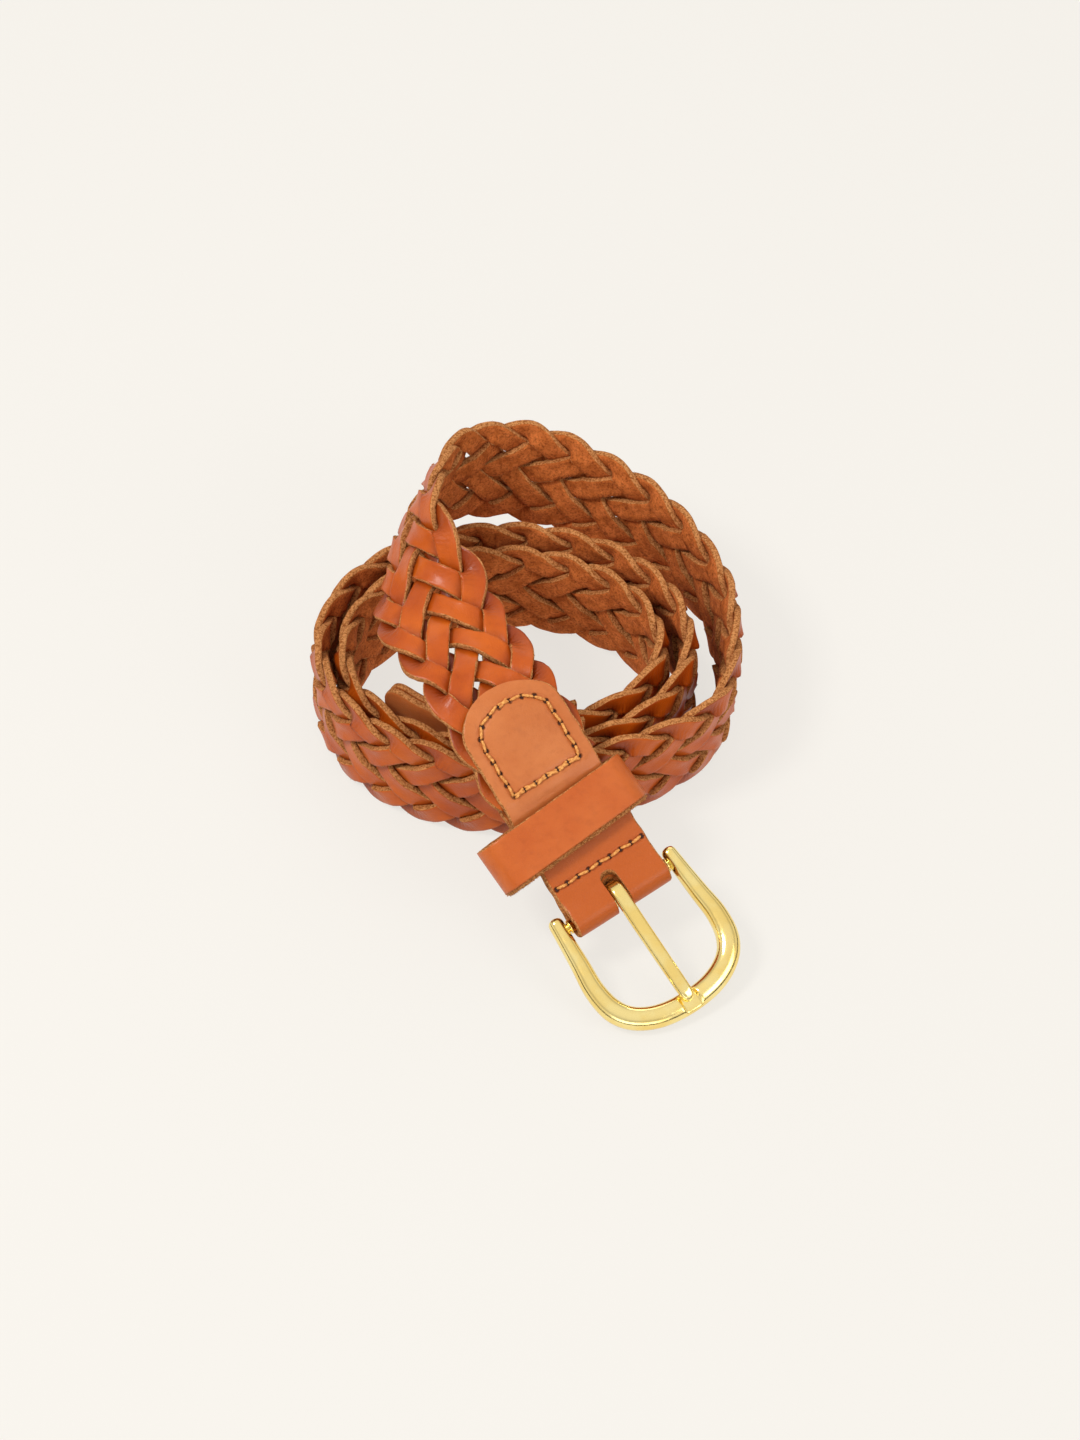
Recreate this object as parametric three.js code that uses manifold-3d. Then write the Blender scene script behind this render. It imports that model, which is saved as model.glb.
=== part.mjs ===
// A braided leather belt, coiled up on its edge, with its buckle end brought over the coil's front.
// Millimetres, +Z up. The belt is drawn in its own coordinates: s runs along it from the free end
// to the buckle's bar, y runs across it, and n stands out from its grain side.
import * as THREE from "three";
import { mergeVertices } from "three/addons/utils/BufferGeometryUtils.js";
import Module from "manifold-3d";

const wasm = await Module();
wasm.setup();

const RAD = Math.PI / 180;

// ---------------------------------------------------------------- driving sizes

const STRANDS = 7;
const STRAND_WIDTH = 6.1;
const STRAND_THICK = 1.8;
const STRAND_GAP = 0.4; // between two strands where one passes over the other
const CROSSING = 6.7; // along the belt, from one crossing to the next
const LEAN = 32.7 * RAD; // of a strand to the belt's length
const LEATHER = 1.8; // thickness of the buckle chape, the tip and the keeper
const CLEAR = 0.3;
const CLOSED_FACE = 0.2; // from the belt's middle to a leather's inner face where no braid is inside

// Sizes that follow from those.
const LEVEL = (STRAND_THICK + STRAND_GAP) / 2;
const TRAVEL = 3.5 * CROSSING * Math.tan(LEAN);
const TURN_INNER = TRAVEL - STRAND_WIDTH / (2 * Math.cos(LEAN));
const EDGE = TURN_INNER + STRAND_WIDTH; // half the braid's width
const CROSSING_HALF = STRAND_WIDTH / (2 * Math.sin(2 * LEAN));
const FLAT = (CROSSING_HALF + 0.12) * Math.cos(LEAN) / CROSSING; // in crossings
const BRAID_FACE = LEVEL + STRAND_THICK / 2 + CLEAR;

// ---------------------------------------------------------------- the belt's route

// The coil is an oval spiral standing on its edge: its centre and how far that moves in a turn,
// then the half sizes that it starts with and how much a turn adds to them.
const COIL_CENTRE = [0.3, 0.8];
const COIL_DRIFT = [0.6, 1.75];
const COIL_ACROSS = [42.5, 7.5];
const COIL_DEEP = [31.6, 7.1];
const COIL_FROM = -150;
const COIL_TO = 660;
const COIL_STEP = 30;
const TIP_TUCK = 2.4; // how far the front of the first turn is drawn in, to make room for the tip

// From there the belt rises behind the coil, turns over on the left, and comes down over the front.
// Each row is a point of the belt's middle and its direction from the lower edge to the upper one.
const FREE_RUN = [
  [58.6, -14.7, 18, 0, -0.2, 1],
  [61, 20.6, 20.5, 0.15, -0.3, 1],
  [47.6, 43.7, 24.5, 0.15, -0.1, 1],
  [28, 57, 28.4, 0.15, 0.12, 1],
  [4.5, 64.8, 33.4, 0.15, 0.2, 1],
  [-13.5, 57.8, 40.3, 0.13, 0.1, 1],
  [-22.9, 42.3, 48.5, 0.35, 0.06, 0.97],
  [-26.1, 20.8, 53.1, 0.48, -0.09, 0.9],
  [-19.2, -4.4, 52.2, 0.93, 0.02, 0.15],
  [-9.5, -20.5, 52, 1, 0.35, -0.05],
];
const BAR_CENTRE = [30.3, -74.3, 16.9];
const CHAPE_HEADING = [0.53, -0.67, -0.53];
const CHAPE_ACROSS = [0.82, 0.55, 0.13];
const CHAPE_POINTS = [62, 42, 21, 0]; // distances back from the bar

// ---------------------------------------------------------------- the chape and the tip

const CHAPE_HALF = 15.2;
const CHAPE_LENGTH = 65;
const CHAPE_ROUND = 10; // depth of its rounded end
const BRAID_STOP = 36.8; // the braid ends this far before the bar
const SEAM_END = 38; // the box seam's straight row
const SEAM_HALF = 10.9;
const SEAM_SIDE = 16.5; // length of the box seam's straight sides
const SEAM_TOP = 6.2; // and depth of its rounded top
const BAR_SEAM = 10.5;
const STITCH = 3.6;
const THREAD = 0.4; // radius
const BAR_RADIUS = 2;
const FOLD_INNER = BAR_RADIUS + CLEAR;
const SLOT_HALF = 2.6;
const SLOT_LENGTH = 6.5;

const TIP_LENGTH = 58;
const TIP_CORNER = 6;
const BRAID_START = 34;
const TIP_SEAM = 53;

// ---------------------------------------------------------------- keeper and buckle

const KEEPER_AT = 24.4; // its middle, before the bar
const KEEPER_BAND = 14.6;
const KEEPER_HALF = 24;
const KEEPER_SPACE = 10; // height inside the loop
const KEEPER_SIDE = -2.2;
const KEEPER_TILT = 3.5 * RAD;
const KEEPER_REST = 3.2; // height of its inner face over the chape's middle

const BUCKLE_LIFT = 10.3 * RAD; // from the chape's own slope, so that its front lies on the ground
const ARM_BACK = 4.2;
const ARM_SIDE = 18.6;
const FRAME_SIDE = 20.1;
const FRAME_FRONT = 34.6;
const FRAME_SECTION = [6.4, 5]; // width and height at the front
const ARM_SECTION = [4.1, 3.8]; // at the arms' tips
const PRONG_WIDTH = 4.1;
const PRONG_LENGTH = 34.4;
const PRONG_RING = 3.9;
const PRONG_UNDER = 1.6;
const SEAT_FLOOR = 1.35;

// ---------------------------------------------------------------- colours

const GRAIN = { color: 0xb55a24, roughness: 0.5, metalness: 0 };
const TAB_LEATHER = { color: 0xb9652f, roughness: 0.5, metalness: 0 };
const THREAD_TAN = { color: 0xcf9a52, roughness: 0.8, metalness: 0 };
const GOLD = { color: 0xd9b048, roughness: 0.2, metalness: 1 };
const STEEL = { color: 0xb8b8b8, roughness: 0.35, metalness: 1 };

// ---------------------------------------------------------------- route: from s, y, n to a point

function routeStations() {
  const rows = [];
  for (let angle = COIL_FROM; angle <= COIL_TO; angle += COIL_STEP) {
    const turns = angle / 360;
    const tuck = angle < 0 ? TIP_TUCK * Math.sin(angle * RAD) : 0;
    const across = COIL_ACROSS[0] + COIL_ACROSS[1] * turns + tuck;
    const deep = COIL_DEEP[0] + COIL_DEEP[1] * turns + tuck;
    const x = COIL_CENTRE[0] + COIL_DRIFT[0] * turns + across * Math.cos(angle * RAD);
    const y = COIL_CENTRE[1] + COIL_DRIFT[1] * turns + deep * Math.sin(angle * RAD);
    rows.push([x, y, EDGE, 0, 0, 1]);
  }
  rows.push(...FREE_RUN);
  const heading = new THREE.Vector3(...CHAPE_HEADING).normalize();
  for (const back of CHAPE_POINTS) {
    const point = heading.clone().multiplyScalar(-back).add(new THREE.Vector3(...BAR_CENTRE));
    rows.push([point.x, point.y, point.z, ...CHAPE_ACROSS]);
  }
  return rows;
}

// A smooth curve through rows of numbers, at row index + fraction u.
function through(rows, u) {
  const i = Math.min(Math.floor(u), rows.length - 2);
  const t = u - i;
  const a = rows[i];
  const b = rows[i + 1];
  const before = rows[i - 1] ?? a.map((value, k) => 2 * value - b[k]);
  const after = rows[i + 2] ?? b.map((value, k) => 2 * value - a[k]);
  return a.map((value, k) => {
    const leave = (b[k] - before[k]) / 2;
    const arrive = (after[k] - value) / 2;
    const rise = b[k] - value;
    return (
      value +
      t * leave +
      t * t * (3 * rise - 2 * leave - arrive) +
      t * t * t * (leave + arrive - 2 * rise)
    );
  });
}

const STATIONS = routeStations();
const SAMPLES_PER_STATION = 24;

function measureRoute() {
  const lengths = [0];
  let last = STATIONS[0];
  for (let i = 1; i <= (STATIONS.length - 1) * SAMPLES_PER_STATION; i++) {
    const here = through(STATIONS, i / SAMPLES_PER_STATION);
    const step = Math.hypot(here[0] - last[0], here[1] - last[1], here[2] - last[2]);
    lengths.push(lengths[i - 1] + step);
    last = here;
  }
  return lengths;
}

const LENGTHS = measureRoute();
const BAR_AT = LENGTHS[LENGTHS.length - 1];

// The belt's middle at distance s, with its directions along, across and out of the grain side.
function frameAt(s) {
  const inside = Math.min(Math.max(s, 0), BAR_AT);
  let i = 1;
  while (i < LENGTHS.length - 1 && LENGTHS[i] < inside) i++;
  const part = (inside - LENGTHS[i - 1]) / (LENGTHS[i] - LENGTHS[i - 1]);
  const u = (i - 1 + part) / SAMPLES_PER_STATION;
  const last = STATIONS.length - 1;
  const row = through(STATIONS, u);
  const ahead = through(STATIONS, Math.min(u + 0.01, last));
  const behind = through(STATIONS, Math.max(u - 0.01, 0));
  const centre = new THREE.Vector3(row[0], row[1], row[2]);
  const along = new THREE.Vector3(
    ahead[0] - behind[0],
    ahead[1] - behind[1],
    ahead[2] - behind[2],
  ).normalize();
  const across = new THREE.Vector3(row[3], row[4], row[5]);
  across.addScaledVector(along, -across.dot(along)).normalize();
  const out = along.clone().cross(across);
  centre.addScaledVector(along, s - inside);
  return { centre, along, across, out };
}

function place(s, y, n) {
  const { centre, across, out } = frameAt(s);
  return centre.addScaledVector(across, y).addScaledVector(out, n);
}

// ---------------------------------------------------------------- solids

// A closed body through rings of points, all with the same count. splitBack says which diagonal
// cuts the four-sided face from ring i to the next at corner j.
function sweep(rings, splitBack = () => false) {
  const count = rings[0].length;
  const positions = rings.flat().flatMap((p) => [p.x, p.y, p.z]);
  const faces = [];
  for (let i = 0; i + 1 < rings.length; i++) {
    for (let j = 0; j < count; j++) {
      const a = i * count + j;
      const b = i * count + ((j + 1) % count);
      const c = b + count;
      const d = a + count;
      if (splitBack(i, j)) faces.push(a, b, d, b, c, d);
      else faces.push(a, b, c, a, c, d);
    }
  }
  const last = (rings.length - 1) * count;
  for (let j = 1; j + 1 < count; j++) {
    faces.push(0, j + 1, j);
    faces.push(last, last + j, last + j + 1);
  }
  const geometry = new THREE.BufferGeometry();
  geometry.setAttribute("position", new THREE.Float32BufferAttribute(positions, 3));
  geometry.setIndex(faces);
  return geometry;
}

function toManifold(geometry) {
  const bare = geometry.clone();
  bare.deleteAttribute("normal");
  bare.deleteAttribute("uv");
  const merged = mergeVertices(bare, 1e-4);
  return new wasm.Manifold(
    new wasm.Mesh({
      numProp: 3,
      vertProperties: merged.attributes.position.array,
      triVerts: new Uint32Array(merged.index.array),
    }),
  );
}

function fromManifold(solid) {
  const { vertProperties, triVerts } = solid.getMesh();
  const geometry = new THREE.BufferGeometry();
  geometry.setAttribute("position", new THREE.Float32BufferAttribute(vertProperties, 3));
  geometry.setIndex([...triVerts]);
  return geometry;
}

function cut(geometry, ...tools) {
  return fromManifold(
    tools.reduce((solid, tool) => solid.subtract(toManifold(tool)), toManifold(geometry)),
  );
}

const belt = new THREE.Group();

function addNode(name, geometry, look) {
  geometry.computeVertexNormals();
  const mesh = new THREE.Mesh(geometry, new THREE.MeshStandardMaterial(look));
  mesh.name = name;
  belt.add(mesh);
}

// ---------------------------------------------------------------- the braid

// What a strand does on its way across: over or under, and the crossings it does it for.
const WEAVE = [
  [1, 1, 1],
  [-1, 2, 3],
  [1, 4, 5],
  [-1, 6, 6],
];

// The stations of one trip across the belt: how far, in crossings, and at what level.
function tripStations() {
  const stops = [];
  for (const [level, first, last] of WEAVE) {
    stops.push([first - FLAT, level]);
    if (last > first) stops.push([(first + last) / 2, level]);
    stops.push([last + FLAT, level]);
  }
  stops.push([7, 0]);
  return stops;
}

// A strand's section, sheared so that its sides lie along the strands that it crosses.
function strandRing(start, side, far, level) {
  const s = start + far * CROSSING;
  let left;
  let right;
  if (far === 7) {
    const inner = [s, side * TURN_INNER];
    const outer = [s, side * EDGE];
    left = side > 0 ? outer : inner;
    right = side > 0 ? inner : outer;
  } else {
    const y = side * TRAVEL * ((2 * far) / 7 - 1);
    const shear = side * CROSSING_HALF * Math.cos(LEAN);
    const half = CROSSING_HALF * Math.sin(LEAN);
    left = [s - shear, y + half];
    right = [s + shear, y - half];
  }
  const top = level * LEVEL + STRAND_THICK / 2;
  const bottom = top - STRAND_THICK;
  return [
    place(...left, top),
    place(...right, top),
    place(...right, bottom),
    place(...left, bottom),
  ];
}

function strand(number) {
  const rings = [];
  const rising = [];
  const trip = 7 * CROSSING;
  const shift = BRAID_START + 2 * CROSSING * number;
  const margin = CROSSING_HALF * Math.cos(LEAN);
  for (let k = -2; shift + k * trip < BAR_AT; k++) {
    const side = k % 2 === 0 ? 1 : -1;
    for (const [far, level] of tripStations()) {
      const s = shift + k * trip + far * CROSSING;
      if (s < BRAID_START + margin || s > BAR_AT - BRAID_STOP - margin) continue;
      rings.push(strandRing(shift + k * trip, side, far, level));
      rising.push(side > 0);
    }
  }
  return sweep(rings, (i, j) => (j === 0) === rising[Math.min(i + 1, rings.length - 1)]);
}

// ---------------------------------------------------------------- sewn leather

// Half the width of a leather piece, this far from its rounded end.
function roundedHalf(far, depth, half) {
  const short = Math.max(depth - far, 0) / depth;
  return half * Math.sqrt(1 - short * short);
}

function leatherRing(half, inner, outer) {
  return [
    place(outer[0], half, outer[1]),
    place(outer[0], -half, outer[1]),
    place(inner[0], -half, inner[1]),
    place(inner[0], half, inner[1]),
  ];
}

// The chape's inner face over the braid, then drawn together, then opening to the bar.
const CHAPE_FACE = [
  [54, BRAID_FACE],
  [49, BRAID_FACE],
  [44, BRAID_FACE],
  [36, BRAID_FACE],
  [31, CLOSED_FACE],
  [20, CLOSED_FACE],
  [8, CLOSED_FACE],
  [4.6, 1],
];
const FOLD_STEPS = 10;

function chapeRings() {
  const layer = (side) => {
    const rings = [];
    for (const angle of [12, 30, 50, 70]) {
      const far = CHAPE_ROUND * (1 - Math.cos(angle * RAD));
      const half = roundedHalf(far, CHAPE_ROUND, CHAPE_HALF);
      const s = BAR_AT - CHAPE_LENGTH + far;
      rings.push([half, [s, side * BRAID_FACE], [s, side * (BRAID_FACE + LEATHER)]]);
    }
    for (const [back, face] of CHAPE_FACE) {
      const s = BAR_AT - back;
      rings.push([CHAPE_HALF, [s, side * face], [s, side * (face + LEATHER)]]);
    }
    return rings;
  };
  const fold = [];
  for (let i = 0; i <= FOLD_STEPS; i++) {
    const angle = (110 - (220 * i) / FOLD_STEPS) * RAD;
    const at = (radius) => [BAR_AT + radius * Math.cos(angle), radius * Math.sin(angle)];
    fold.push([CHAPE_HALF, at(FOLD_INNER), at(FOLD_INNER + LEATHER)]);
  }
  return [...layer(1), ...fold, ...layer(-1).reverse()].map((row) => leatherRing(...row));
}

// The frame of axes at the bar: forward, across and out, tipped up by an angle about the bar.
function barMatrix(lift) {
  const { centre, along, across, out } = frameAt(BAR_AT);
  const turned = along.clone().multiplyScalar(Math.cos(lift));
  turned.addScaledVector(out, Math.sin(lift));
  const up = turned.clone().cross(across);
  return new THREE.Matrix4().makeBasis(turned, across, up).setPosition(centre);
}

function buckleChape() {
  const slot = new THREE.BoxGeometry(SLOT_LENGTH + 10, 2 * SLOT_HALF, 20);
  slot.translate(10 / 2 - SLOT_LENGTH / 2, 0, 0);
  const end = new THREE.CylinderGeometry(SLOT_HALF, SLOT_HALF, 20, 16);
  end.rotateX(Math.PI / 2);
  end.translate(-SLOT_LENGTH, 0, 0);
  const tool = toManifold(slot).add(toManifold(end));
  const geometry = fromManifold(tool).applyMatrix4(barMatrix(0));
  return cut(sweep(chapeRings()), geometry);
}

// One of the two layers at the belt's free end. side is 1 for the grain side.
function tipLayer(side) {
  const faces = [
    [12, CLOSED_FACE],
    [18, CLOSED_FACE],
    [24, CLOSED_FACE],
    [29, CLOSED_FACE],
    [BRAID_START - 0.5, BRAID_FACE],
    [40, BRAID_FACE],
    [46, BRAID_FACE],
    [52, BRAID_FACE],
    [TIP_LENGTH, BRAID_FACE],
  ];
  const rows = [15, 45, 90].map((angle) => {
    const far = TIP_CORNER * (1 - Math.cos(angle * RAD));
    return [EDGE - TIP_CORNER * (1 - Math.sin(angle * RAD)), far, CLOSED_FACE];
  });
  rows.push(...faces.map(([s, face]) => [EDGE, s, face]));
  const rings = rows.map(([half, s, face]) => {
    const inner = [s, side * face];
    const outer = [s, side * (face + LEATHER)];
    return side > 0 ? leatherRing(half, inner, outer) : leatherRing(half, outer, inner);
  });
  return sweep(rings);
}

// ---------------------------------------------------------------- threads

// A lockstitch thread along belt points [s, y], raised between its holes, on one face.
function thread(corners, face, side) {
  const sides = 5;
  const points = [];
  corners.slice(1).forEach((to, i) => {
    const from = corners[i];
    const stitches = Math.max(1, Math.round(Math.hypot(to[0] - from[0], to[1] - from[1]) / STITCH));
    for (let k = 0; k < 2 * stitches; k++) {
      const t = k / (2 * stitches);
      const lift = k % 2 === 0 ? 0 : 0.3;
      const s = from[0] + t * (to[0] - from[0]);
      const y = from[1] + t * (to[1] - from[1]);
      points.push(place(s, y, side * (face + 0.1 + THREAD + lift)));
    }
  });
  const [s, y] = corners[corners.length - 1];
  points.push(place(s, y, side * (face + 0.1 + THREAD)));
  const up = frameAt(s).out;
  const rings = points.map((point, i) => {
    const before = points[Math.max(i - 1, 0)];
    const after = points[Math.min(i + 1, points.length - 1)];
    const along = after.clone().sub(before).normalize();
    const across = up.clone().cross(along).normalize();
    const over = along.clone().cross(across);
    return Array.from({ length: sides }, (_, j) => {
      const angle = (2 * Math.PI * j) / sides;
      return point
        .clone()
        .addScaledVector(across, THREAD * Math.cos(angle))
        .addScaledVector(over, THREAD * Math.sin(angle));
    });
  });
  return sweep(rings);
}

// The box seam: a straight row, two sides and a rounded top, left open by one thread's width.
function boxSeam() {
  const row = BAR_AT - SEAM_END;
  const shoulder = row - SEAM_SIDE;
  const corners = [
    [row, -SEAM_HALF + 1.2],
    [row, SEAM_HALF],
    [shoulder, SEAM_HALF],
  ];
  for (const angle of [30, 60, 90, 120, 150, 180]) {
    const y = SEAM_HALF * Math.cos(angle * RAD);
    corners.push([shoulder - SEAM_TOP * Math.sin(angle * RAD), y]);
  }
  corners.push([row - 0.2, -SEAM_HALF]);
  return corners;
}

const BAR_SEAM_ROW = [-14, 14].map((y) => [BAR_AT - BAR_SEAM, y]);
const TIP_SEAM_ROW = [-13, 13].map((y) => [TIP_SEAM, y]);

// ---------------------------------------------------------------- keeper

// An oval with straight long sides, in the loop's own plane.
function oval(outline, half, radius) {
  outline.absarc(half - radius, 0, radius, -Math.PI / 2, Math.PI / 2, false);
  outline.absarc(-half + radius, 0, radius, Math.PI / 2, (3 * Math.PI) / 2, false);
  return outline;
}

// Turns a shape in the plane of y and n into a band along s, and sets it on the chape.
function keeperPlace(geometry) {
  geometry.translate(0, 0, -KEEPER_BAND / 2);
  geometry.applyMatrix4(
    new THREE.Matrix4().set(0, 0, 1, 0, 1, 0, 0, 0, 0, 1, 0, 0, 0, 0, 0, 1),
  );
  geometry.rotateZ(KEEPER_TILT);
  geometry.translate(-KEEPER_AT, KEEPER_SIDE, KEEPER_REST - KEEPER_SPACE / 2);
  return geometry.applyMatrix4(barMatrix(0));
}

function keeperLoop() {
  const radius = KEEPER_SPACE / 2;
  const shape = oval(new THREE.Shape(), KEEPER_HALF, radius + LEATHER);
  shape.holes.push(oval(new THREE.Path(), KEEPER_HALF - LEATHER, radius));
  const depth = KEEPER_BAND;
  return keeperPlace(
    new THREE.ExtrudeGeometry(shape, { depth, bevelEnabled: false, curveSegments: 8 }),
  );
}

// A flat staple under the loop, where the leather's ends meet.
function keeperStaple() {
  const shape = new THREE.Shape();
  const under = -KEEPER_SPACE / 2 - LEATHER - 0.1;
  shape.moveTo(-4, under);
  shape.lineTo(-4, under - 0.8);
  shape.lineTo(4, under - 0.8);
  shape.lineTo(4, under);
  const geometry = new THREE.ExtrudeGeometry(shape, { depth: 1.4, bevelEnabled: false });
  geometry.translate(0, 0, (KEEPER_BAND - 1.4) / 2);
  return keeperPlace(geometry);
}

// ---------------------------------------------------------------- buckle

// The frame's middle line, from one arm's tip round to the other: forward, sideways.
function frameLine() {
  const half = [
    [-ARM_BACK, ARM_SIDE],
    [3, ARM_SIDE + 0.4],
    [10.5, ARM_SIDE + 0.9],
    [18.5, FRAME_SIDE],
    [25.5, FRAME_SIDE - 1.2],
    [30.4, FRAME_SIDE - 4.9],
    [33.6, 8.6],
  ];
  const other = half.map(([x, y]) => [x, -y]).reverse();
  return new THREE.CatmullRomCurve3(
    [...half, [FRAME_FRONT, 0], ...other].map(([x, y]) => new THREE.Vector3(x, y, 0)),
  );
}

function buckleFrame() {
  const line = frameLine();
  const steps = 36;
  // Half of the section, as shares of its width and height, from the flat underside to the top.
  const side = [
    [0.4, -0.5],
    [0.5, -0.3],
    [0.5, 0.05],
    [0.38, 0.35],
    [0.15, 0.5],
  ];
  const section = [...side, ...side.map(([p, q]) => [-p, q]).reverse()];
  const rings = [];
  for (let i = 0; i <= steps; i++) {
    const middle = line.getPoint(i / steps);
    const along = line.getTangent(i / steps);
    const outward = new THREE.Vector3(-along.y, along.x, 0);
    const share = Math.min(1, (middle.x + ARM_BACK) / 30);
    const width = THREE.MathUtils.lerp(ARM_SECTION[0], FRAME_SECTION[0], share);
    const height = THREE.MathUtils.lerp(ARM_SECTION[1], FRAME_SECTION[1], share);
    rings.push(
      section.map(([p, q]) =>
        middle.clone().addScaledVector(outward, p * width).setZ(q * height),
      ),
    );
  }
  const bore = new THREE.CylinderGeometry(BAR_RADIUS - 0.4, BAR_RADIUS - 0.4, 38.4, 16);
  const seat = new THREE.BoxGeometry(12, PRONG_WIDTH + 0.7, 4);
  seat.translate(FRAME_FRONT, 0, SEAT_FLOOR + 2);
  return cut(sweep(rings), bore, seat).applyMatrix4(barMatrix(BUCKLE_LIFT));
}

// A round pin with thinner ends that sit in the arms.
function buckleBar() {
  const end = 18.8;
  const shoulder = 16.2;
  const neck = BAR_RADIUS - 0.7;
  const profile = [
    [0, -end],
    [neck, -end],
    [neck, -shoulder],
    [BAR_RADIUS, -shoulder],
    [BAR_RADIUS, shoulder],
    [neck, shoulder],
    [neck, end],
    [0, end],
  ].map(([radius, y]) => new THREE.Vector2(radius, y));
  return new THREE.LatheGeometry(profile, 16).applyMatrix4(barMatrix(BUCKLE_LIFT));
}

// The prong's side view: a curl round the bar, a straight shank and a tip that dips to its seat.
function prong() {
  const inner = FOLD_INNER;
  const shape = new THREE.Shape();
  shape.moveTo(PRONG_RING * Math.cos(300 * RAD), PRONG_RING * Math.sin(300 * RAD));
  shape.absarc(0, 0, PRONG_RING, 300 * RAD, 90 * RAD, true);
  shape.lineTo(9, PRONG_RING);
  shape.lineTo(PRONG_LENGTH - 7, PRONG_UNDER + 2.2);
  shape.lineTo(PRONG_LENGTH - 2.2, PRONG_UNDER + 1.8);
  shape.lineTo(PRONG_LENGTH, PRONG_UNDER + 0.7);
  shape.lineTo(PRONG_LENGTH - 0.3, PRONG_UNDER);
  shape.lineTo(PRONG_LENGTH - 6, PRONG_UNDER);
  shape.lineTo(9, PRONG_UNDER + 0.5);
  shape.lineTo(inner * Math.cos(55 * RAD), inner * Math.sin(55 * RAD));
  shape.absarc(0, 0, inner, 55 * RAD, 300 * RAD, false);
  const geometry = new THREE.ExtrudeGeometry(shape, {
    depth: PRONG_WIDTH,
    bevelEnabled: false,
    curveSegments: 14,
  });
  geometry.translate(0, 0, -PRONG_WIDTH / 2);
  geometry.rotateX(Math.PI / 2);
  return geometry.applyMatrix4(barMatrix(BUCKLE_LIFT));
}

// ---------------------------------------------------------------- the whole belt

for (let i = 0; i < STRANDS; i++) addNode(`strand_${i + 1}`, strand(i), GRAIN);

addNode("buckle_chape", buckleChape(), TAB_LEATHER);
addNode("tip_front", tipLayer(1), TAB_LEATHER);
addNode("tip_back", tipLayer(-1), TAB_LEATHER);

const sewn = BRAID_FACE + LEATHER;
const closed = CLOSED_FACE + LEATHER;
addNode("box_stitch_top", thread(boxSeam(), sewn, 1), THREAD_TAN);
addNode("box_stitch_under", thread(boxSeam(), sewn, -1), THREAD_TAN);
addNode("bar_stitch_top", thread(BAR_SEAM_ROW, closed, 1), THREAD_TAN);
addNode("bar_stitch_under", thread(BAR_SEAM_ROW, closed, -1), THREAD_TAN);
addNode("tip_stitch_top", thread(TIP_SEAM_ROW, sewn, 1), THREAD_TAN);
addNode("tip_stitch_under", thread(TIP_SEAM_ROW, sewn, -1), THREAD_TAN);

addNode("keeper_loop", keeperLoop(), TAB_LEATHER);
addNode("keeper_staple", keeperStaple(), STEEL);
addNode("buckle_frame", buckleFrame(), GOLD);
addNode("buckle_bar", buckleBar(), GOLD);
addNode("prong", prong(), GOLD);

// The origin is on the ground, under the middle of the belt's outline.
belt.position.set(-5.5, 19.6, 0);

export default belt;
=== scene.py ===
import math

import bmesh
import bpy
import numpy as np
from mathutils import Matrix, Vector


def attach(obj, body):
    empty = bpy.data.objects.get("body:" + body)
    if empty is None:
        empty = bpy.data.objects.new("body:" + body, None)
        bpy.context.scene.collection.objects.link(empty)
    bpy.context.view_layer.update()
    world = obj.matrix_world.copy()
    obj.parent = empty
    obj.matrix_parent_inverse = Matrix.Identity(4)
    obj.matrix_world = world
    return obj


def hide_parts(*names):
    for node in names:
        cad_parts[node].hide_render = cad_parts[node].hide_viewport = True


# A seven-strand plaited leather belt, coiled on its edge. Metres, +Z up, in the model's frame.
# Belt coordinates: s along it from the free end, y across it, n out of its grain side.

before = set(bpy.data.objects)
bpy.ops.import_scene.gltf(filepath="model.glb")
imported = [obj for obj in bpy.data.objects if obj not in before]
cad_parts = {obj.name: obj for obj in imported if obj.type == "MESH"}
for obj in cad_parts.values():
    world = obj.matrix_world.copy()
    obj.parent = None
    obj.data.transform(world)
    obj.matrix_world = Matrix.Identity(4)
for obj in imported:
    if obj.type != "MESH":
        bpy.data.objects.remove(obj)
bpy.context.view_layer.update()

# ------------------------------------------------------------------ driving sizes

STRANDS = 7
STRAND_WIDTH = 0.0064
STRAND_THICK = 0.0021
CROSSING = 0.0067
EDGE = 0.0175               # half the braid's width
SWING = EDGE - STRAND_WIDTH / 2
ROUNDING = 0.96             # of a strand's turns: 0 gives a sine wave, 1 a sharp zigzag
LEATHER = 0.0018
BRAID_FACE = 0.0023         # inner face of the sewn leather over the braid
CLOSED_FACE = 0.0002

COIL_CENTRE = (0.0003, 0.0008)
COIL_DRIFT = (0.0006, 0.00175)
COIL_ACROSS = (0.0425, 0.0075)      # half its width, and how much that grows in a turn
COIL_DEEP = (0.0316, 0.0071)        # the same from front to back
COIL_ANGLES = range(-150, 661, 30)
TIP_TUCK = 0.0024
CENTRING = (-0.0055, 0.0196, 0.0)

# The belt's middle where it leaves the coil, and its direction from lower to upper edge.
FREE_RUN = [
    (0.0586, -0.0147, 0.018, 0.0, -0.2, 1.0),
    (0.061, 0.0206, 0.0205, 0.15, -0.3, 1.0),
    (0.0476, 0.0437, 0.0245, 0.15, -0.1, 1.0),
    (0.028, 0.057, 0.0284, 0.15, 0.12, 1.0),
    (0.0045, 0.0648, 0.0334, 0.15, 0.2, 1.0),
    (-0.0135, 0.0578, 0.0403, 0.13, 0.1, 1.0),
    (-0.0229, 0.0423, 0.0485, 0.35, 0.06, 0.97),
    (-0.0261, 0.0208, 0.0531, 0.48, -0.09, 0.9),
    (-0.0192, -0.0044, 0.0522, 0.93, 0.02, 0.15),
    (-0.0095, -0.0205, 0.052, 1.0, 0.35, -0.05),
]
BAR_CENTRE = np.array((0.0303, -0.0743, 0.0169))
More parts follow.
